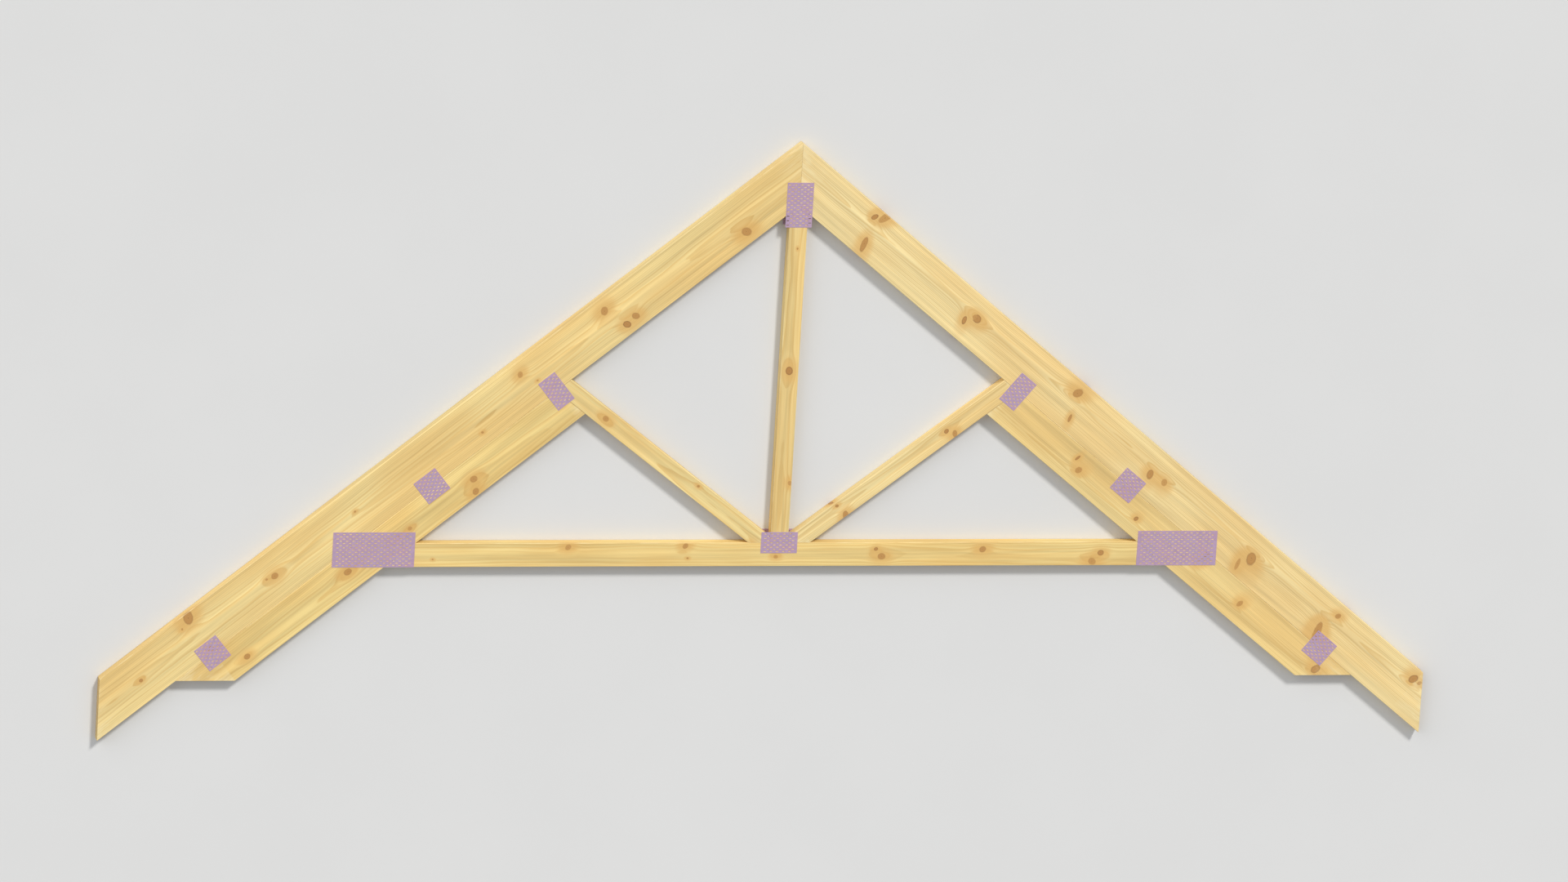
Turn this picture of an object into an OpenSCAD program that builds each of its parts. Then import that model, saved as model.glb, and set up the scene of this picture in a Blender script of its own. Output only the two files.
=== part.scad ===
// Raised-tie roof truss of planed softwood, joined with pressed steel nail plates.
// The truss lies flat on its back face: X runs along the span, Y runs in the
// plane of the truss from the eaves to the apex, and Z is its thickness.
// All sizes are in millimetres.

/* [Span and slope] */
// Span over the outer ends of the two seats
span = 4750; // [4400:10:5200]
// Overhang of each rafter beyond its seat, measured level
overhang = 300; // [150:10:450]
// Slope of the rafters in degrees
pitch = 39; // [37:0.5:41]
// Height of the tie's underside above the seats
tie_height = 460; // [420:10:520]

/* [Timber] */
// Thickness of every timber
timber_t = 47; // [35:1:60]
// Depth of the rafters
rafter_d = 195; // [172:1:220]
// Depth of the second timber under each rafter
under_d = 147; // [122:1:170]
// Depth of the raised tie
tie_d = 97; // [85:1:122]
// Width of the king post
post_w = 72; // [60:1:97]
// Depth of the two struts
strut_d = 72; // [60:1:97]
// Radius of the planed long edges of every timber
arris_r = 2.5; // [1:0.5:4]

/* [Struts] */
// Distance from mid-span to the point where a strut's lower edge meets the rafter
strut_top_x = 926; // [880:1:980]
// Distance from mid-span to the point where a strut's lower edge meets the tie
strut_foot_x = 125; // [115:1:170]

/* [Nail plates] */
// Thickness of the plate steel
plate_t = 1; // [0.9:0.1:2]
// Length of the plates at the tie's ends
tie_end_plate_l = 325; // [250:1:350]
// Height of the plates at the tie's ends
tie_end_plate_h = 142; // [110:1:150]
// Distance from mid-span to the middle of a tie-end plate
tie_end_plate_x = 1618; // [1600:1:1640]
// Side of the square stitch plates between a rafter and its second timber
stitch_plate_s = 105; // [80:1:130]
// Distance from mid-span to the upper stitch plate
stitch_mid_x = 1400; // [1300:1:1420]
// Distance from mid-span to the stitch plate at the foot
stitch_foot_x = 2235; // [2150:1:2260]
// Size of a strut plate along the rafter
strut_plate_l = 80; // [70:1:100]
// Size of a strut plate across the rafter
strut_plate_h = 137; // [110:1:150]
// Width of the plate where the post and the struts meet the tie
tie_mid_plate_l = 146; // [120:1:200]
// Height of the plate where the post and the struts meet the tie
tie_mid_plate_h = 86; // [70:1:90]
// Width of the plate at the apex
apex_plate_l = 105; // [90:1:130]
// Height of the plate at the apex
apex_plate_h = 180; // [150:1:200]

/* [Punched slots] */
// Length of each slot that a plate's teeth are punched from
slot_l = 12; // [8:0.5:14]
// Width of each slot
slot_w = 3.5; // [2.5:0.1:5]
// Distance between slots along a plate
slot_pitch_l = 25; // [22:0.5:30]
// Distance between the staggered rows of slots
slot_pitch_h = 9; // [7:0.5:12]

/* [Hidden] */
timber_color = [0.90, 0.80, 0.51];
plate_color = [0.72, 0.62, 0.71];

T = tan(pitch);
C = cos(pitch);
half_span = span / 2;
tail_x = half_span + overhang;

// Height of the apex above the seats, with the rafter's underside meeting
// the outer end of the seat
apex_z = half_span * T + rafter_d / C;

// Height above the seats, at a distance x from mid-span, of a rafter's top
// edge, of its underside and of the second timber's underside
function top_z(x) = apex_z - x * T;
function under_z(x) = top_z(x) - rafter_d / C;
function low_z(x) = under_z(x) - under_d / C;

// Distance from mid-span at which the second timber's underside has height z
function low_x(z) = (apex_z - (rafter_d + under_d) / C - z) / T;

// The tie's top edge
tie_top = tie_height + tie_d;

// Each strut's lower edge, as a line, and its upper edge above it
strut_a = atan((under_z(strut_top_x) - tie_top) / (strut_top_x - strut_foot_x));
function strut_low_z(x) = tie_top + (x - strut_foot_x) * tan(strut_a);
function strut_up_z(x) = strut_low_z(x) + strut_d / cos(strut_a);
// Where the strut's upper edge meets the rafter's underside
strut_up_x = (under_z(0) - strut_up_z(0)) / (T + tan(strut_a));
// Where the strut's lower edge meets the second timber's underside
strut_low_x = (low_z(0) - strut_low_z(0)) / (T + tan(strut_a));

// How far the outlines of the saw cuts reach beyond the faces of a timber
waste = 30;

// The truss is centred in Y between the tails and the apex
mid_z = (apex_z + under_z(tail_x)) / 2;

// The planed section of a timber of depth d, with its four corners rounded
module planed_section(d) {
    square([d - 2 * arris_r, timber_t], center = true);
    square([d, timber_t - 2 * arris_r], center = true);
    for (i = [-1, 1], j = [-1, 1])
        translate([i * (d / 2 - arris_r), j * (timber_t / 2 - arris_r)])
        circle(r = arris_r, $fn = 32);
}

// One timber of depth d: a planed length whose centre line passes through
// [x, z] at an angle from level, sawn to length along the ends of the outline
// cuts, which is wider than the timber. Points are [distance from mid-span,
// height above the seats]. side is 1 on the right and -1 on the left.
module timber(cuts, x, z, angle, d, side = 1) {
    color(timber_color)
    translate([0, -mid_z, plate_t])
    intersection() {
        translate([side * x, z, timber_t / 2])
        rotate([0, 0, side * angle])
        rotate([90, 0, 90])
        linear_extrude(height = 2 * span, center = true)
        planed_section(d);

        translate([0, 0, -waste])
        linear_extrude(height = timber_t + 2 * waste)
        polygon([for (p = cuts) [side * p[0], p[1]]]);
    }
}

// One nail plate, centred at [x, z] and turned by angle in the plane of the
// truss, on the front face or on the back face. Its slots run along its
// length, in rows that are staggered by half a pitch.
module nail_plate(x, z, l, h, angle, side, front) {
    columns = floor((l - 4) / slot_pitch_l);
    rows = floor((h - 4) / slot_pitch_h);
    color(plate_color)
    translate([side * x, z - mid_z, front ? plate_t + timber_t : 0])
    rotate([0, 0, side * angle])
    linear_extrude(height = plate_t)
    difference() {
        square([l, h], center = true);
        for (i = [0 : columns - 1], j = [0 : rows - 1])
            translate([
                (i - (columns - 1) / 2 + (j % 2 == 0 ? -0.25 : 0.25)) * slot_pitch_l,
                (j - (rows - 1) / 2) * slot_pitch_h
            ])
            square([slot_l, slot_w], center = true);
    }
}

// A rafter is sawn plumb at the apex and at its tail
module rafter(side) {
    x = tail_x / 2;
    timber([
        [0, top_z(0) + waste],
        [tail_x, top_z(tail_x) + waste],
        [tail_x, under_z(tail_x) - waste],
        [0, under_z(0) - waste]
    ], x, (top_z(x) + under_z(x)) / 2, -pitch, rafter_d, side);
}

// The second timber is cut level at its seat and cut along the strut at its top
module under_rafter(side) {
    x = (strut_top_x + half_span) / 2;
    timber([
        [strut_top_x + waste, strut_low_z(strut_top_x + waste)],
        [half_span + waste, 0],
        [low_x(0) - waste, 0],
        [strut_low_x - waste, strut_low_z(strut_low_x - waste)]
    ], x, (under_z(x) + low_z(x)) / 2, -pitch, under_d, side);
}

// A strut is cut to the rafter's underside at its top, and to the post and the
// tie at its foot
module strut(side) {
    x = (strut_foot_x + strut_top_x) / 2;
    timber([
        [strut_top_x + waste, under_z(strut_top_x + waste)],
        [strut_up_x - waste, under_z(strut_up_x - waste)],
        [post_w / 2, strut_up_z(post_w / 2) + waste],
        [post_w / 2, tie_top],
        [strut_foot_x + waste, tie_top]
    ], x, (strut_low_z(x) + strut_up_z(x)) / 2, strut_a, strut_d, side);
}

module rafter_left() { rafter(-1); }
module rafter_right() { rafter(1); }
module under_rafter_left() { under_rafter(-1); }
module under_rafter_right() { under_rafter(1); }
module strut_left() { strut(-1); }
module strut_right() { strut(1); }

// The tie's ends are cut along the undersides of the second timbers
module raised_tie() {
    timber([
        [-low_x(tie_top + waste), tie_top + waste],
        [low_x(tie_top + waste), tie_top + waste],
        [low_x(tie_height - waste), tie_height - waste],
        [-low_x(tie_height - waste), tie_height - waste]
    ], 0, tie_height + tie_d / 2, 0, tie_d);
}

// The post stands on the tie and is pointed to fit under both rafters
module king_post() {
    w = post_w / 2 + waste;
    timber([
        [-w, tie_top],
        [w, tie_top],
        [w, under_z(w)],
        [0, under_z(0)],
        [-w, under_z(w)]
    ], 0, (tie_top + under_z(0)) / 2, 90, post_w);
}

module apex_plate(front) {
    nail_plate(0, under_z(0) + 4, apex_plate_l, apex_plate_h, 0, 1, front);
}

module tie_mid_plate(front) {
    nail_plate(0, tie_top, tie_mid_plate_l, tie_mid_plate_h, 0, 1, front);
}

module tie_end_plate(side, front) {
    nail_plate(tie_end_plate_x, tie_height + tie_end_plate_h / 2,
        tie_end_plate_l, tie_end_plate_h, 0, side, front);
}

module strut_plate(side, front) {
    nail_plate(strut_top_x, under_z(strut_top_x),
        strut_plate_l, strut_plate_h, -pitch, side, front);
}

module stitch_plate(x, side, front) {
    nail_plate(x, under_z(x), stitch_plate_s, stitch_plate_s, -pitch, side, front);
}

module apex_plate_front() { apex_plate(true); }
module apex_plate_back() { apex_plate(false); }
module tie_mid_plate_front() { tie_mid_plate(true); }
module tie_mid_plate_back() { tie_mid_plate(false); }
module tie_end_plate_left_front() { tie_end_plate(-1, true); }
module tie_end_plate_left_back() { tie_end_plate(-1, false); }
module tie_end_plate_right_front() { tie_end_plate(1, true); }
module tie_end_plate_right_back() { tie_end_plate(1, false); }
module strut_plate_left_front() { strut_plate(-1, true); }
module strut_plate_left_back() { strut_plate(-1, false); }
module strut_plate_right_front() { strut_plate(1, true); }
module strut_plate_right_back() { strut_plate(1, false); }
module stitch_plate_mid_left_front() { stitch_plate(stitch_mid_x, -1, true); }
module stitch_plate_mid_left_back() { stitch_plate(stitch_mid_x, -1, false); }
module stitch_plate_mid_right_front() { stitch_plate(stitch_mid_x, 1, true); }
module stitch_plate_mid_right_back() { stitch_plate(stitch_mid_x, 1, false); }
module stitch_plate_foot_left_front() { stitch_plate(stitch_foot_x, -1, true); }
module stitch_plate_foot_left_back() { stitch_plate(stitch_foot_x, -1, false); }
module stitch_plate_foot_right_front() { stitch_plate(stitch_foot_x, 1, true); }
module stitch_plate_foot_right_back() { stitch_plate(stitch_foot_x, 1, false); }

rafter_left();
rafter_right();
under_rafter_left();
under_rafter_right();
raised_tie();
king_post();
strut_left();
strut_right();
apex_plate_front();
apex_plate_back();
tie_mid_plate_front();
tie_mid_plate_back();
tie_end_plate_left_front();
tie_end_plate_left_back();
tie_end_plate_right_front();
tie_end_plate_right_back();
strut_plate_left_front();
strut_plate_left_back();
strut_plate_right_front();
strut_plate_right_back();
stitch_plate_mid_left_front();
stitch_plate_mid_left_back();
stitch_plate_mid_right_front();
stitch_plate_mid_right_back();
stitch_plate_foot_left_front();
stitch_plate_foot_left_back();
stitch_plate_foot_right_front();
stitch_plate_foot_right_back();
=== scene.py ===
import math
import random

import bpy
import numpy as np
from mathutils import Matrix, Vector


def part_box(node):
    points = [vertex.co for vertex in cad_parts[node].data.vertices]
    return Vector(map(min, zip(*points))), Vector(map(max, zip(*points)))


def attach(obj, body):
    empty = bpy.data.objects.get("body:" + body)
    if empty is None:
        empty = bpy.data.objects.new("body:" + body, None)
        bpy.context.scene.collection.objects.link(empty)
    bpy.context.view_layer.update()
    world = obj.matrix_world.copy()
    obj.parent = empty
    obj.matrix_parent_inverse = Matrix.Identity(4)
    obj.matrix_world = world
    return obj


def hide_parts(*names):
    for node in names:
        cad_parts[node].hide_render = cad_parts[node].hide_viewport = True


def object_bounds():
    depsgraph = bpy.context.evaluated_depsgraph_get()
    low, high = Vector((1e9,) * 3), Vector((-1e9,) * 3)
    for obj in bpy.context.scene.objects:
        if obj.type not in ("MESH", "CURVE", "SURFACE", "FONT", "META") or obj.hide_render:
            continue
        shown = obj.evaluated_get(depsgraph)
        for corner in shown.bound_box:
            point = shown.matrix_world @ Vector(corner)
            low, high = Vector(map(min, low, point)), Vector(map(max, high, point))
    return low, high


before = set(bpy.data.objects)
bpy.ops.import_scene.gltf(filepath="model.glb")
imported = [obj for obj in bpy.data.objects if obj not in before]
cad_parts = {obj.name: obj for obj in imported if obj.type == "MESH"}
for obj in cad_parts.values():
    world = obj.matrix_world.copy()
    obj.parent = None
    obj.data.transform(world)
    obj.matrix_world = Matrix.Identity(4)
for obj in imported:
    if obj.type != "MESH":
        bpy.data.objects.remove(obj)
cad_lo, cad_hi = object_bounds()
scene = bpy.context.scene

TIMBERS = [
    "rafter_left", "rafter_right", "under_rafter_left", "under_rafter_right",
    "raised_tie", "king_post", "strut_left", "strut_right",
]
PLATES = sorted(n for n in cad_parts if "_plate" in n)

ARRIS = 0.0026        # rounding of the planed long edges
CUT = 0.0007          # easing of the sawn ends
SLOT_L, SLOT_W = 0.012, 0.0035
PITCH_L, PITCH_H = 0.025, 0.009
TOOTH_W = 0.0029      # width of a tooth at its root
TOOTH_D = 0.0085      # how far a tooth goes into the timber
BEND_IN = 0.0005      # inside radius of the bend at a tooth's root


# ---------------------------------------------------------------- shapes

def outline(node):
    """The corners of a node's outline in plan, anticlockwise."""
    pts = sorted({(round(v.co.x, 5), round(v.co.y, 5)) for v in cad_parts[node].data.vertices})

    def half(points):
        out = []
        for p in points:
            while len(out) > 1:
                (ax, ay), (bx, by) = out[-2], out[-1]
                turn = (bx - ax) * (p[1] - ay) - (by - ay) * (p[0] - ax)
                if turn <= 1e-7 * math.hypot(bx - ax, by - ay):
                    out.pop()
                else:
                    break
            out.append(p)
        return out[:-1]

    # the rounded arrises leave points close beside the corners and along the cuts, so the flattest goes first
    hull = [Vector(p) for p in half(pts) + half(pts[::-1])]
    while len(hull) > 3:
        flat = []
        for i, p in enumerate(hull):
            a, b = hull[i - 1], hull[(i + 1) % len(hull)]
            flat.append((abs((p - a).cross(b - p)) / (b - a).length, i))
        rise, i = min(flat)
        if rise > 5e-5:
            break
        hull.pop(i)
    return hull


def edges_of(poly):
    return [(poly[i - 1], poly[i]) for i in range(len(poly))]


def place(name, verts, faces, spot, angle, uvs=None):
    """A mesh object made from points about spot, turned by angle about Z. Its place is in its mesh, as a node's is."""
    turn = Matrix.Rotation(angle, 3, "Z")
    me = bpy.data.meshes.new(name)
    me.from_pydata([spot + turn @ Vector(v) for v in verts], [], [tuple(f) for f in faces])
    if uvs is not None:
        layer = me.uv_layers.new(name="OFBake")
        layer.uv.foreach_set("vector", np.asarray(uvs, np.float32).ravel())
    me.polygons.foreach_set("use_smooth", [True] * len(me.polygons))
    me.update()
    me.validate()
    ob = bpy.data.objects.new(name, me)
    scene.collection.objects.link(ob)
    return ob


def finish_piece(ob, node, material):
    ob.data.materials.append(material)
    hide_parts(node)
    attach(ob, "root")


def span_at(poly, b):
    """The two ends, along X, of a convex polygon at the height b. Edges that run along X are passed over."""
    b = min(max(b, min(v.y for v in poly)), max(v.y for v in poly))
    xs = []
    for p, q in edges_of(poly):
        if abs(q.y - p.y) > 1e-3 and min(p.y, q.y) - 5e-5 <= b <= max(p.y, q.y) + 5e-5:
            xs.append(p.x + (q.x - p.x) * min(max((b - p.y) / (q.y - p.y), 0), 1))
    return min(xs), max(xs)


def section(h, t, r, steps, cuts):
    """A rounded rectangle in (y, z), with points at the given heights on its faces: each point, and whether it is on an arris."""
    y, z = h / 2 - r, t / 2 - r

    def corner(cy, cz, start):
        angles = [math.radians(start - 90 * k / steps) for k in range(steps + 1)]
        return [(cy + r * math.cos(a), cz + r * math.sin(a), 0 < k < steps) for k, a in enumerate(angles)]

    front = [(c, t / 2, False) for c in sorted(cuts)]
    back = [(c, -t / 2, False) for c in sorted(cuts, reverse=True)]
    return corner(-y, z, 180) + front + corner(y, z, 90) + corner(y, -z, 0) + back + corner(-y, -z, -90)


def make_timber(node):
    """A planed timber with eased arrises and sawn ends, in its own frame with X along the grain."""
    poly = outline(node)
    lo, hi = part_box(node)
    p, q = max(edges_of(poly), key=lambda e: (e[1] - e[0]).length)
    d = (q - p).normalized()
    if d.y < -1e-4 or (abs(d.y) <= 1e-4 and d.x < 0):
        d = -d
    n = Vector((-d.y, d.x))
    flat = [Vector((v.dot(d), v.dot(n))) for v in poly]
    mid = Vector(((min(v.x for v in flat) + max(v.x for v in flat)) / 2,
                  (min(v.y for v in flat) + max(v.y for v in flat)) / 2))
    flat = [v - mid for v in flat]
    h = max(v.y for v in flat) - min(v.y for v in flat)
    t = hi.z - lo.z
    cuts = sorted({round(v.y, 5) for v in flat if abs(v.y) < h / 2 - ARRIS})
    full = section(h, t, ARRIS, 4, cuts)
    small = section(h - 2 * CUT, t - 2 * CUT, ARRIS - CUT, 4, cuts)
    count = len(full)
    ends = [span_at(flat, s[0]) for s in full]
    tight = [span_at(flat, s[0]) for s in small]
    left, right = min(e[0] for e in ends), max(e[1] for e in ends)
    first, last = max(e[0] for e in ends) + 0.004, min(e[1] for e in ends) - 0.004

    def along(y, side):
        """The distance up a sawn end, from its lowest edge to the height y."""
        knots = [-h / 2] + cuts + [h / 2]
        run = 0.0
        for a, b in zip(knots, knots[1:]):
            slope = (span_at(flat, b)[side] - span_at(flat, a)[side]) / (b - a)
            run += (min(max(y, a), b) - a) * math.hypot(1, slope)
        return run

    # the map: the four faces unrolled, in strips one above another, with the ends beside them
    around = [0.0]
    for i in range(count):
        a, b = full[i], full[(i + 1) % count]
        around.append(around[-1] + math.hypot(b[0] - a[0], b[1] - a[1]))
    gap = 0.012
    band = around[-1] + gap
    tall = max(along(h / 2, 0), along(h / 2, 1))
    size, strips = min((max((right - left) / k + 4 * gap + 2 * t, k * band + gap, tall + 2 * gap), k)
                       for k in range(1, 7))
    bounds = [left + (right - left) * s / strips for s in range(strips + 1)]

    loops = [[(e[0], s[0], s[1]) for e, s in zip(tight, small)],
             [(e[0] + CUT * 1.3, s[0], s[1]) for e, s in zip(ends, full)]]
    strip = [0, 0]
    for s in range(strips):
        a, b = max(first, bounds[s]), min(last, bounds[s + 1])
        for k in range(4):
            loops.append([(a + (b - a) * k / 4, y, z) for y, z, _ in full])
            strip.append(s)
    loops.append([(last, y, z) for y, z, _ in full])
    loops.append([(e[1] - CUT * 1.3, s[0], s[1]) for e, s in zip(ends, full)])
    loops.append([(e[1], s[0], s[1]) for e, s in zip(tight, small)])
    strip += [strips - 1, strips - 1]
    verts = [v for loop in loops for v in loop]

    faces, uvs = [], []
    for row, s in enumerate(strip):
        for i in range(count):
            j = (i + 1) % count
            quad = [row * count + i, (row + 1) * count + i, (row + 1) * count + j, row * count + j]
            faces.append(quad)
            for v, arc in zip(quad, (around[i], around[i], around[i + 1], around[i + 1])):
                uvs.append(((verts[v][0] - bounds[s] + gap) / size, (s * band + arc + gap) / size))
    for row, side in ((0, 0), (len(loops) - 1, 1)):
        limits = [-1.0] + cuts + [1.0]
        for a, b in zip(limits, limits[1:]):
            face = [row * count + i for i in range(count) if a - 1e-6 <= full[i][0] <= b + 1e-6]
            face = face[::-1] if side else face
            faces.append(face)
            for v in face:
                u0 = (right - left) / strips + 2 * gap + side * (t + gap)
                uvs.append(((u0 + verts[v][2] + t / 2) / size, (gap + along(verts[v][1], side)) / size))

    flat_spot = d * mid.x + n * mid.y
    spot, angle = Vector((flat_spot.x, flat_spot.y, (lo.z + hi.z) / 2)), math.atan2(d.y, d.x)
    ob = place(node + "_timber", verts, faces, spot, angle, uvs)
    rows = (0, 1, len(loops) - 2, len(loops) - 1)
    # the arcs of the arrises and the loops at the ends are marked for a painted highlight
    arris_highlight = [1.0 if s[2] or k in rows else 0.0 for k in range(len(loops)) for s in full]
    sides = len(strip) * count
    arris_highlight_mask = ob.data.attributes.new("arris", "FLOAT", "CORNER")
    arris_highlight_mask.data.foreach_set("value", [arris_highlight[v] if i < sides else 0.0 for i, f in enumerate(faces) for v in f])
    ob.data.set_sharp_from_angle(angle=math.radians(50))
    m = ob.modifiers.new("normals", "WEIGHTED_NORMAL")
    m.keep_sharp = True
    return ob, right - left, h, t, spot, angle


def make_plate(node):
    """A pressed nail plate: sheet with staggered rows of slots, and a tooth bent down at each end of each slot."""
    poly = outline(node)
    lo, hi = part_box(node)
    t = hi.z - lo.z
    front = lo.z > (cad_lo.z + cad_hi.z) / 2
    best = None
    for p, q in edges_of(poly):
        d = (q - p).normalized()
        if d.x < 0:
            d = -d
        a = abs(math.atan2(d.y, d.x))
        if best is None or a < best[0] - 1e-6:
            best = (a, d, (q - p).length)
    d, l = best[1], best[2]
    n = Vector((-d.y, d.x))
    across = [v.dot(n) for v in poly]
    h = max(across) - min(across)
    mid = sum((v for v in poly), Vector((0, 0))) / len(poly)

    cols = math.floor((l * 1000 - 4 + 1e-3) / (PITCH_L * 1000))
    rows = math.floor((h * 1000 - 4 + 1e-3) / (PITCH_H * 1000))
    slots = [((i - (cols - 1) / 2 + (-0.25 if j % 2 == 0 else 0.25)) * PITCH_L,
              (j - (rows - 1) / 2) * PITCH_H)
             for i in range(cols) for j in range(rows)]

    def ticks(values):
        out = []
        for v in sorted(values):
            if not out or v - out[-1] > 1e-6:
                out.append(v)
        return out

    hw = TOOTH_W / 2
    xs = ticks([-l / 2, l / 2] + [x + s * SLOT_L / 2 for x, _ in slots for s in (-1, 1)])
    ys = ticks([-h / 2, h / 2] + [y + o for _, y in slots for o in (-SLOT_W / 2, -hw, hw, SLOT_W / 2)])

    def near(values, v):
        return int(np.argmin(np.abs(np.asarray(values) - v)))

    solid = np.ones((len(xs) - 1, len(ys) - 1), bool)
    for x, y in slots:
        solid[near(xs, x - SLOT_L / 2):near(xs, x + SLOT_L / 2), near(ys, y - SLOT_W / 2):near(ys, y + SLOT_W / 2)] = False

    verts, faces, uvs, known = [], [], [], {}
    gap = 0.004
    scale = 1 / max(l + 2 * gap, 2 * h + 4 * gap + 0.03)

    def at(i, j, k):
        key = (i, j, k)
        if key not in known:
            known[key] = len(verts)
            verts.append((xs[i], ys[j], t if k else 0.0))
        return known[key]

    def top_uv(v):
        return ((v[0] + l / 2 + gap) * scale, (v[1] + h / 2 + gap) * scale)

    def low_uv(v):
        return ((v[0] + l / 2 + gap) * scale, (v[1] + h / 2 + h + 2 * gap) * scale)

    def side_uv(u, v):
        return ((gap + u) * scale, (2 * h + 3 * gap + v) * scale)

    def add(face, maps):
        faces.append(face)
        uvs.extend(maps)

    for i in range(len(xs) - 1):
        for j in range(len(ys) - 1):
            if not solid[i, j]:
                continue
            f = [at(i, j, 1), at(i + 1, j, 1), at(i + 1, j + 1, 1), at(i, j + 1, 1)]
            add(f, [top_uv(verts[v]) for v in f])
            f = [at(i, j, 0), at(i, j + 1, 0), at(i + 1, j + 1, 0), at(i + 1, j, 0)]
            add(f, [low_uv(verts[v]) for v in f])

    roots = set()
    for x, y in slots:
        j0 = near(ys, y - hw)
        roots.add((near(xs, x - SLOT_L / 2), j0))
        roots.add((near(xs, x + SLOT_L / 2), j0))

    def wall(a, b, size):
        """A sheared edge from corner a to corner b, seen with the sheet on its left."""
        f = [at(*a, 0), at(*b, 0), at(*b, 1), at(*a, 1)]
        add(f, [side_uv(0, 0), side_uv(size, 0), side_uv(size, t), side_uv(0, t)])

    def is_solid(i, j):
        return 0 <= i < len(xs) - 1 and 0 <= j < len(ys) - 1 and solid[i, j]

    for i in range(len(xs)):
        for j in range(len(ys) - 1):
            a, b = is_solid(i - 1, j), is_solid(i, j)
            if a == b or (i, j) in roots:
                continue
            size = min(ys[j + 1] - ys[j], l)
            wall((i, j), (i, j + 1), size) if a else wall((i, j + 1), (i, j), size)
    for j in range(len(ys)):
        for i in range(len(xs) - 1):
            a, b = is_solid(i, j - 1), is_solid(i, j)
            if a == b:
                continue
            size = min(xs[i + 1] - xs[i], l)
            wall((i + 1, j), (i, j), size) if a else wall((i, j), (i + 1, j), size)

    # the teeth: the strip from each slot, bent down at the slot's ends
    ro, ri, bends = BEND_IN + t, BEND_IN, 3
    for x, y in slots:
        j0, j1 = near(ys, y - hw), near(ys, y + hw)
        for s in (-1, 1):
            i = near(xs, x + s * SLOT_L / 2)
            x0 = xs[i]
            rings = [[at(i, j0, 1), at(i, j1, 1), at(i, j1, 0), at(i, j0, 0)]]
            for k in range(1, bends + 1):
                a = math.radians(90 * k / bends)
                ox, oz = x0 - s * ro * math.sin(a), -ri + ro * math.cos(a)
                ix, iz = x0 - s * ri * math.sin(a), -ri + ri * math.cos(a)
                base = len(verts)
                verts.extend([(ox, y - hw, oz), (ox, y + hw, oz), (ix, y + hw, iz), (ix, y - hw, iz)])
                rings.append([base, base + 1, base + 2, base + 3])
            for depth, width in ((0.55, 0.86), (1.0, 0.12)):
                zt, w = -ri - (TOOTH_D - ri) * depth, hw * width
                base = len(verts)
                ox, ix = x0 - s * ro, x0 - s * ri
                verts.extend([(ox, y - w, zt), (ox, y + w, zt), (ix, y + w, zt), (ix, y - w, zt)])
                rings.append([base, base + 1, base + 2, base + 3])
            run = 0.0
            for a, b in zip(rings, rings[1:]):
                step = (Vector(verts[a[0]]) - Vector(verts[b[0]])).length
                for k in range(4):
                    m = (k + 1) % 4
                    f = [a[k], a[m], b[m], b[k]] if s > 0 else [a[m], a[k], b[k], b[m]]
                    u = 2 * hw if k % 2 == 0 else t
                    add(f, [side_uv(0, run), side_uv(u, run), side_uv(u, run + step), side_uv(0, run + step)])
                run += step
            b = rings[-1]
            add(b if s > 0 else b[::-1], [side_uv(0, 0), side_uv(hw, 0), side_uv(hw, t), side_uv(0, t)])

    if not front:  # turned over, with its teeth up into the timber
        verts = [(a, b, t - c) for a, b, c in verts]
        flipped, at_uv, start = [], [], 0
        for f in faces:
            flipped.append(list(f)[::-1])
            at_uv.extend(uvs[start:start + len(f)][::-1])
            start += len(f)
        faces, uvs = flipped, at_uv
    spot, angle = Vector((mid.x, mid.y, lo.z)), math.atan2(d.y, d.x)
    ob = place(node + "_sheet", verts, faces, spot, angle, uvs)
    ob.data.set_sharp_from_angle(angle=math.radians(40))
    return ob, spot, angle


# ------------------------------------------------------------- materials

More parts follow.
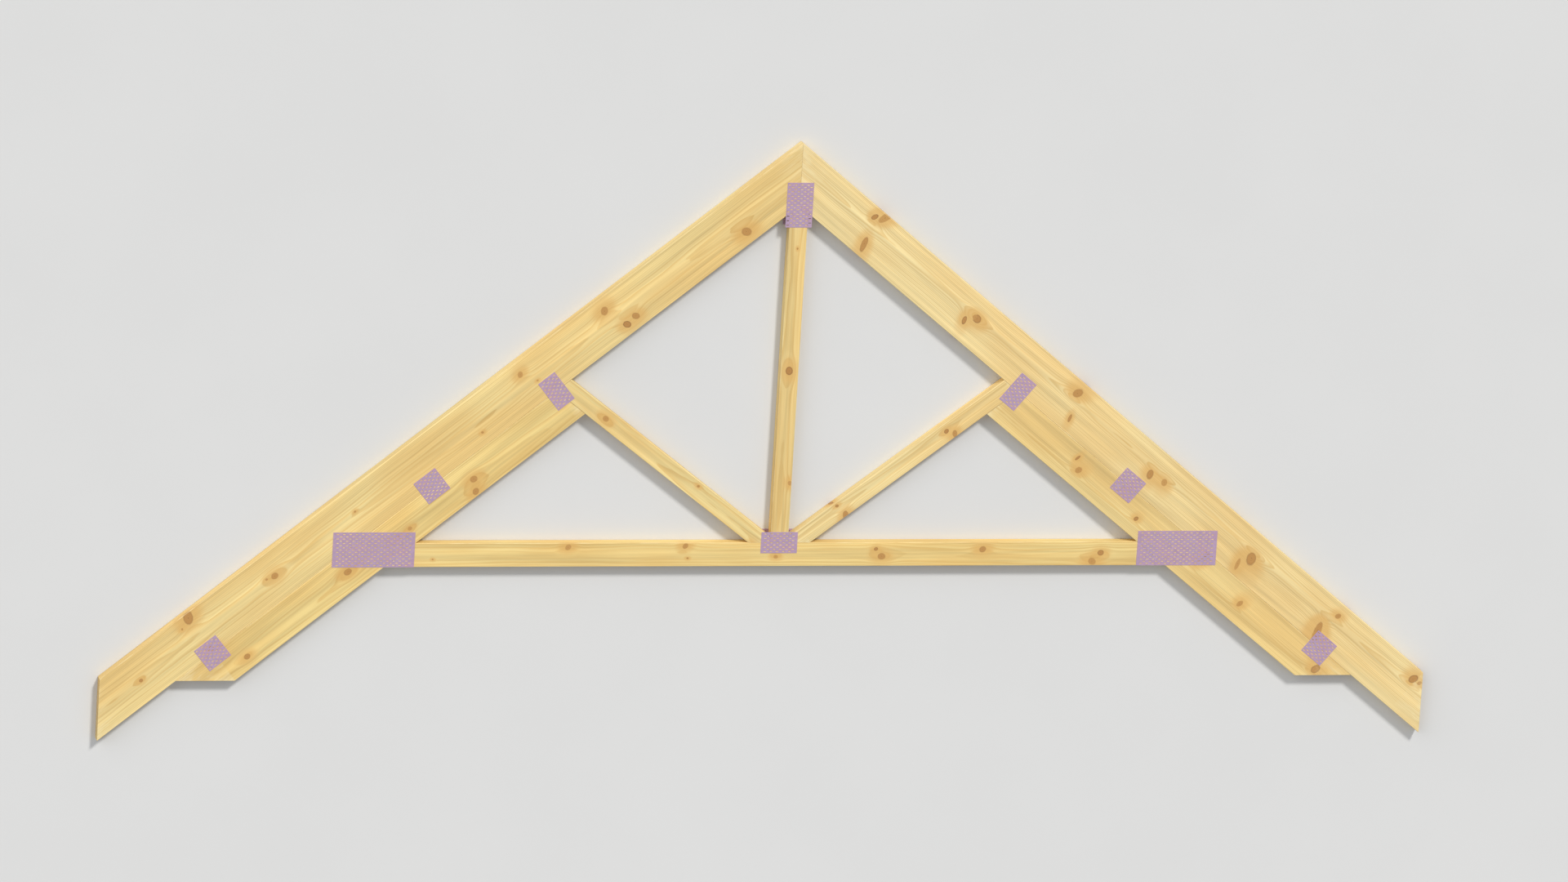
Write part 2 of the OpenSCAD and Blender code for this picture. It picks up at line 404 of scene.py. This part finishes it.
class Tree:
    """Short ways to add nodes to a material."""

    def __init__(self, name):
        self.mat = bpy.data.materials.new(name)
        self.mat.use_nodes = True
        self.nodes = self.mat.node_tree.nodes
        self.links = self.mat.node_tree.links
        self.nodes.clear()
        self.out = self.nodes.new("ShaderNodeOutputMaterial")
        self.bsdf = self.nodes.new("ShaderNodeBsdfPrincipled")
        self.links.new(self.bsdf.outputs[0], self.out.inputs["Surface"])

    def put(self, socket, value):
        if isinstance(value, bpy.types.NodeSocket):
            self.links.new(value, socket)
        elif isinstance(value, (tuple, list)) and socket.type == "RGBA" and len(value) == 3:
            socket.default_value = (*value, 1.0)
        else:
            socket.default_value = value

    def node(self, kind, **props):
        n = self.nodes.new(kind)
        for k, v in props.items():
            setattr(n, k, v)
        return n

    def math(self, op, a, b=None, c=None, clamp=False):
        n = self.node("ShaderNodeMath", operation=op, use_clamp=clamp)
        for s, v in zip(n.inputs, (a, b, c)):
            if v is not None:
                self.put(s, v)
        return n.outputs[0]

    def add(self, a, b):
        return self.math("ADD", a, b)

    def sub(self, a, b):
        return self.math("SUBTRACT", a, b)

    def mul(self, a, b):
        return self.math("MULTIPLY", a, b)

    def muladd(self, a, b, c):
        return self.math("MULTIPLY_ADD", a, b, c)

    def xyz(self, x, y, z):
        n = self.node("ShaderNodeCombineXYZ")
        for s, v in zip(n.inputs, (x, y, z)):
            self.put(s, v)
        return n.outputs[0]

    def split(self, v):
        n = self.node("ShaderNodeSeparateXYZ")
        self.put(n.inputs[0], v)
        return n.outputs

    def local(self, vec, spot, angle):
        """A place, or with no spot a direction, in the frame of a piece that stands at spot and is turned by angle."""
        n = self.node("ShaderNodeMapping", vector_type="TEXTURE")
        self.put(n.inputs["Vector"], vec)
        n.inputs["Location"].default_value = spot
        n.inputs["Rotation"].default_value = (0.0, 0.0, angle)
        return n.outputs[0]

    def noise(self, vec, detail=2.0, rough=0.5, dims="3D", scale=1.0, warp=0.0):
        n = self.node("ShaderNodeTexNoise", noise_dimensions=dims)
        self.put(n.inputs["Vector"], vec)
        n.inputs["Scale"].default_value = scale
        n.inputs["Detail"].default_value = detail
        n.inputs["Roughness"].default_value = rough
        n.inputs["Distortion"].default_value = warp
        return n.outputs[0]

    def ease(self, v, a, b, lo=0.0, hi=1.0):
        n = self.node("ShaderNodeMapRange", interpolation_type="SMOOTHSTEP")
        for s, x in zip(n.inputs, (v, a, b, lo, hi)):
            self.put(s, x)
        return n.outputs[0]

    def mix(self, fac, a, b, blend="MIX"):
        n = self.node("ShaderNodeMix", data_type="RGBA", blend_type=blend)
        self.put(n.inputs[0], fac)
        self.put(n.inputs[6], a)
        self.put(n.inputs[7], b)
        return n.outputs[2]

    def bump(self, height, strength, distance, normal=None):
        n = self.node("ShaderNodeBump")
        n.inputs["Strength"].default_value = strength
        n.inputs["Distance"].default_value = distance
        self.put(n.inputs["Height"], height)
        if normal is not None:
            self.put(n.inputs["Normal"], normal)
        return n.outputs[0]


def branches(rng, length, h, t, py, pz):
    """The branches that cross a timber, each from the pith: where it starts, its direction, how it rises, its radius at a distance, and its darkness."""
    out = []
    rise = rng.choice((-1, 1)) * rng.uniform(0.15, 0.45)
    x = -length / 2 + rng.uniform(0.06, 0.30)
    while x < length / 2 - 0.05:
        for _ in range(rng.choice((1, 2, 2, 3) if h > 0.12 else (1, 1, 2))):
            y = rng.uniform(-0.43, 0.43) * h
            a = math.atan2(t / 2 - pz, y - py)
            far = math.hypot(t / 2 - pz, y - py)
            size = rng.choice((0.35, 0.6, 0.8, 1.0, 1.0, 1.2)) * rng.uniform(0.8, 1.15) * (0.0125 if h > 0.12 else 0.0095)
            at = x + rng.uniform(-0.05, 0.05)
            out.append((at - rise * far, a, rise, size, far, rng.random()))
        x += rng.uniform(0.30, 0.58)
    return out


def softwood(name, seed, length, h, t, spot, angle):
    """Planed softwood, solid through the timber: growth rings about a pith along X, branches with the grain running round them, and slow changes of tone."""
    rng = random.Random(seed)
    g = Tree(name)
    coord = g.node("ShaderNodeTexCoord")
    x, y, z = g.split(g.local(coord.outputs["Object"], spot, angle))
    ox, oy, oz = (rng.uniform(-40, 40) for _ in range(3))
    py = rng.uniform(-0.22, 0.22) * h
    pz = rng.choice((-0.7, -0.95, -1.2, 1.0)) * rng.uniform(0.9, 1.1) * t
    yy, zz = g.sub(y, py), g.sub(z, pz)

    # branches: how near, how dark, and how far they push the grain aside
    near, dark, push_y, push_z, lift, glow = 400.0, 0.0, 0.0, 0.0, 0.0, 0.0
    for start, a, rise, size, far, tone in branches(rng, length, h, t, py, pz):
        c, s = math.cos(a), math.sin(a)
        u = g.muladd(yy, c, g.mul(zz, s))
        v = g.muladd(zz, c, g.mul(yy, -s))
        w = g.muladd(u, -rise, g.sub(x, start))
        grown = g.math("POWER", g.math("MAXIMUM", g.mul(u, 1 / far), 0.0), 0.3)
        rad = g.math("MAXIMUM", g.mul(grown, size), 0.0004)
        vq, wq = g.math("DIVIDE", v, rad), g.math("DIVIDE", w, rad)
        v2, w2 = g.mul(vq, vq), g.mul(wq, wq)
        q2 = g.muladd(w2, 0.72, v2)
        closer = g.math("LESS_THAN", q2, near)
        dark = g.muladd(closer, g.sub(tone, dark), dark)
        near = g.math("MINIMUM", q2, near)
        pull = g.math("EXPONENT", g.muladd(w2, -0.055, g.mul(v2, -0.26)))
        side = g.mul(v, pull)
        push_y, push_z = g.muladd(side, 0.8 * s, push_y), g.muladd(side, -0.8 * c, push_z)
        lift = g.muladd(g.mul(pull, rad), 0.7, lift)
        glow = g.add(pull, glow)
    yw, zw = g.add(y, push_y), g.add(z, push_z)
    lumpy = g.noise(g.xyz(g.mul(x, 85.0), g.mul(y, 105.0), g.muladd(z, 105.0, oz)), 2.0, 0.6)
    q = g.mul(g.math("SQRT", near), g.muladd(lumpy, 0.24, 0.88))
    core = g.ease(q, 0.90, 1.06, 1.0, 0.0)
    rim = g.mul(g.ease(q, 0.78, 0.98), g.ease(q, 1.02, 1.22, 1.0, 0.0))

    # growth rings
    slow = g.noise(g.xyz(g.muladd(x, 0.8, ox), g.muladd(yw, 5.0, oy), g.muladd(zw, 5.0, oz)), 2.0, 0.5)
    quick = g.noise(g.xyz(g.muladd(x, 4.0, oz), g.muladd(yw, 26.0, ox), g.muladd(zw, 26.0, oy)), 2.0, 0.5)
    ry, rz = g.sub(yw, py), g.sub(zw, pz)
    r = g.math("SQRT", g.muladd(ry, ry, g.mul(rz, rz)))
    r = g.sub(g.add(r, g.muladd(slow, 0.036, g.mul(quick, 0.006))), lift)
    phase = g.mul(r, 1 / rng.uniform(0.0046, 0.0064))
    turn = g.math("FRACT", phase)
    late = g.mul(g.ease(turn, 0.22, 0.92), g.ease(turn, 0.94, 1.0, 1.0, 0.0))
    each = g.node("ShaderNodeTexWhiteNoise", noise_dimensions="1D")
    g.put(each.inputs["W"], g.math("FLOOR", phase))
    late = g.mul(late, g.muladd(each.outputs["Value"], 0.6, 0.4))

    # fibres, streaks and slow changes of tone along the timber
    fibre = g.noise(g.xyz(g.mul(x, 9.0), g.muladd(yw, 620.0, ox), g.mul(zw, 620.0)), 2.0, 0.6)
    fine = g.noise(g.xyz(g.muladd(x, 2.6, ox), g.muladd(yw, 120.0, oy), g.muladd(zw, 120.0, oz)), 2.0, 0.6)
    streak = g.noise(g.xyz(g.muladd(x, 0.9, oy), g.muladd(yw, 30.0, oz), g.muladd(zw, 30.0, ox)), 2.0, 0.6)
    patch = g.noise(g.xyz(g.muladd(x, 1.6, oz), g.muladd(y, 5.0, oy), g.muladd(z, 5.0, ox)), 2.0, 0.55)

    # each timber is from another tree, so it has a tone of its own
    tone = rng.uniform(-1, 1)
    pale = (0.850 + 0.03 * tone, 0.672 + 0.045 * tone, 0.308 + 0.065 * tone)
    deep = (0.805 + 0.03 * tone, 0.552 + 0.045 * tone, 0.212 + 0.05 * tone)
    base = g.mix(g.ease(patch, 0.34, 0.66, 0.0, 0.75), pale, deep)
    base = g.mix(g.mul(late, 0.60), base, (0.660, 0.405, 0.118))
    shade = g.muladd(streak, 0.62, g.muladd(fine, 0.34, 0.50))
    base = g.mix(1.0, base, g.muladd(fibre, 0.16, g.sub(shade, 0.08)), "MULTIPLY")

    # branches over the grain: orange wood round them, rings within, and a dark line round the dead ones
    base = g.mix(g.ease(near, 1.0, 20.0, 0.34, 0.0), base, (0.735, 0.430, 0.135))
    base = g.mix(g.ease(glow, 0.03, 0.90, 0.0, 0.55), base, (0.700, 0.405, 0.118))
    knot = g.mix(dark, (0.600, 0.330, 0.102), (0.470, 0.228, 0.068))
    inner = g.math("FRACT", g.muladd(q, 3.4, g.mul(lumpy, 0.8)))
    knot = g.mix(g.ease(inner, 0.15, 0.95, 0.0, 0.50), knot, (0.390, 0.186, 0.056))
    knot = g.mix(g.ease(q, 0.0, 0.22, 0.5, 0.0), knot, (0.270, 0.120, 0.038))
    base = g.mix(g.mul(core, 0.90), base, knot)
    base = g.mix(g.mul(rim, g.ease(dark, 0.35, 0.95, 0.10, 0.72)), base, (0.250, 0.112, 0.040))

    # sawn ends are darker and duller, and a pale highlight is painted along the arrises in patches
    nx, ny, nz = g.split(g.local(coord.outputs["Normal"], (0.0, 0.0, 0.0), angle))
    end = g.ease(g.math("ABSOLUTE", nx), 0.20, 0.45)
    base = g.mix(g.mul(end, g.muladd(late, 0.40, 0.34)), base, (0.430, 0.262, 0.092))
    arris_highlight_mask = g.node("ShaderNodeAttribute", attribute_name="arris").outputs["Fac"]
    highlight_patches = g.noise(g.xyz(g.mul(x, 14.0), g.mul(y, 60.0), g.mul(z, 60.0)), 2.0, 0.6)
    # painted highlight: a pale colour along the arrises, in patches
    base = g.mix(g.mul(arris_highlight_mask, g.ease(highlight_patches, 0.42, 0.68, 0.10, 0.55)), base, (0.900, 0.770, 0.450))

    g.put(g.bsdf.inputs["Base Color"], base)
    rough = g.muladd(late, -0.10, 0.66)
    rough = g.muladd(fibre, 0.12, rough)
    rough = g.muladd(core, -0.16, rough)
    rough = g.math("ADD", rough, g.mul(end, 0.12), clamp=True)
    g.put(g.bsdf.inputs["Roughness"], rough)
    g.bsdf.inputs["Specular IOR Level"].default_value = 0.35

    # raised fibres, the faint ripple of the planer, and saw marks across the ends
    ripple = g.math("SINE", g.mul(x, 2 * math.pi / 0.0042))
    grain = g.noise(g.xyz(g.mul(x, 7.0), g.muladd(y, 430.0, oy), g.muladd(z, 430.0, oz)), 2.0, 0.6)
    saw = g.noise(g.xyz(g.mul(x, 40.0), g.mul(y, 90.0), g.mul(z, 700.0)), 2.0, 0.5)
    height = g.muladd(ripple, 0.05, g.mul(grain, 0.75))
    height = g.muladd(g.mul(saw, end), 1.2, height)
    g.put(g.bsdf.inputs["Normal"], g.bump(height, 0.55, 0.0006))
    return g.mat


def galvanised(name, seed, spot, angle):
    """Galvanised sheet with a lilac cast: crystals of the zinc, dull patches, rub marks and brighter sheared edges."""
    rng = random.Random(seed)
    g = Tree(name)
    coord = g.node("ShaderNodeTexCoord")
    x, y, z = g.split(g.local(coord.outputs["Object"], spot, angle))
    ox, oy = rng.uniform(-30, 30), rng.uniform(-30, 30)
    p = g.xyz(g.add(x, ox), g.add(y, oy), z)

    crystal = g.node("ShaderNodeTexVoronoi", voronoi_dimensions="2D")
    wob = g.noise(p, 2.0, 0.5, scale=160.0)
    g.put(crystal.inputs["Vector"], g.xyz(g.muladd(wob, 0.006, g.add(x, ox)), g.muladd(wob, 0.006, g.add(y, oy)), 0.0))
    crystal.inputs["Scale"].default_value = 120.0
    tint = g.node("ShaderNodeSeparateColor")
    g.put(tint.inputs[0], crystal.outputs["Color"])
    c1, c2, _ = tint.outputs
    cloud = g.noise(p, 3.0, 0.6, scale=22.0)
    hue = g.noise(p, 1.0, 0.5, scale=7.0)
    bloom = g.noise(p, 4.0, 0.65, scale=75.0)
    rub = g.noise(g.xyz(g.muladd(x, 24.0, ox), g.muladd(y, 900.0, oy), 0.0), 3.0, 0.6)

    base = g.mix(c1, (0.520, 0.361, 0.502), (0.607, 0.432, 0.584))
    base = g.mix(g.ease(hue, 0.34, 0.66, 0.0, 0.50), base, (0.532, 0.408, 0.590))
    base = g.mix(g.ease(cloud, 0.38, 0.66, 0.0, 0.45), base, (0.594, 0.385, 0.510))
    base = g.mix(g.ease(bloom, 0.56, 0.76, 0.0, 0.32), base, (0.655, 0.524, 0.628))
    base = g.mix(g.ease(rub, 0.60, 0.80, 0.0, 0.35), base, (0.380, 0.262, 0.356))
    nx, ny, nz = g.split(coord.outputs["Normal"])
    edge = g.ease(g.math("ABSOLUTE", nz), 0.35, 0.80, 1.0, 0.0)
    base = g.mix(g.mul(edge, 0.5), base, (0.588, 0.486, 0.555))
    g.put(g.bsdf.inputs["Base Color"], base)
    g.bsdf.inputs["Metallic"].default_value = 0.55
    rough = g.muladd(c2, 0.12, 0.60)
    rough = g.muladd(g.ease(bloom, 0.5, 0.76), 0.16, rough)
    rough = g.muladd(g.ease(cloud, 0.4, 0.7), 0.06, rough)
    g.put(g.bsdf.inputs["Roughness"], rough)
    height = g.muladd(c1, 0.25, g.muladd(bloom, 0.5, g.mul(rub, 0.35)))
    g.put(g.bsdf.inputs["Normal"], g.bump(height, 0.35, 0.0003))
    return g.mat


# ------------------------------------------------------------ the object

for k, node in enumerate(TIMBERS):
    ob, *facts = make_timber(node)
    finish_piece(ob, node, softwood("softwood_" + node, 11 + 7 * k, *facts))

for k, node in enumerate(PLATES):
    ob, *facts = make_plate(node)
    finish_piece(ob, node, galvanised("galvanised_" + node, 301 + 5 * k, *facts))


# ------------------------------------------------- floor, light and camera

def plain(name, colour, rough):
    g = Tree(name)
    coord = g.node("ShaderNodeTexCoord")
    n = g.noise(coord.outputs["Object"], 3.0, 0.55, scale=1.4)
    dark = tuple(c * 0.985 for c in colour)
    g.put(g.bsdf.inputs["Base Color"], g.mix(g.ease(n, 0.3, 0.7), colour, dark))
    g.bsdf.inputs["Roughness"].default_value = rough
    g.bsdf.inputs["Specular IOR Level"].default_value = 0.2
    return g.mat


me = bpy.data.meshes.new("floor")
side = 250.0
me.from_pydata([(-side, -side, 0), (side, -side, 0), (side, side, 0), (-side, side, 0)], [], [(0, 1, 2, 3)])
floor = bpy.data.objects.new("floor", me)
scene.collection.objects.link(floor)
me.materials.append(plain("floor_paint", (0.715, 0.715, 0.715), 0.85))

world = bpy.data.worlds.new("studio")
scene.world = world
world.use_nodes = True
sky = world.node_tree.nodes["Background"]
sky.inputs["Color"].default_value = (0.96, 0.98, 1.0, 1.0)
sky.inputs["Strength"].default_value = 0.46


def lamp(name, towards, energy, spread, colour):
    """A far lamp that shines from the direction given, softer the wider it spreads."""
    light = bpy.data.lights.new(name, "SUN")
    light.energy = energy
    light.angle = math.radians(spread)
    light.color = colour
    ob = bpy.data.objects.new(name, light)
    scene.collection.objects.link(ob)
    ob.rotation_mode = "QUATERNION"
    ob.rotation_quaternion = Vector(towards).to_track_quat("Z", "Y")
    ob.location = Vector(towards).normalized() * 12


lamp("key", (0.32, 0.80, 0.74), 2.10, 10, (1.0, 0.985, 0.95))
lamp("fill", (-0.75, 0.58, 0.52), 0.95, 55, (1.0, 0.99, 0.97))

cam_data = bpy.data.cameras.new("camera")
cam = bpy.data.objects.new("camera", cam_data)
scene.collection.objects.link(cam)
aim = Vector((0.0, 0.0, 0.025))
back = Vector((-4.397, 5.360, 19.025)).normalized()
spot = aim + back * 40.0
up = Vector((0.0, 0.9625, -0.2711))
right = up.cross(back).normalized()
up = back.cross(right).normalized()
cam.matrix_world = Matrix.Translation(spot) @ Matrix((right, up, back)).transposed().to_4x4()
cam_data.sensor_width = 36.0
cam_data.lens = 234.0
cam_data.clip_start, cam_data.clip_end = 0.1, 600.0
scene.camera = cam

scene.view_settings.view_transform = "Standard"
scene.view_settings.look = "None"

bpy.context.view_layer.update()
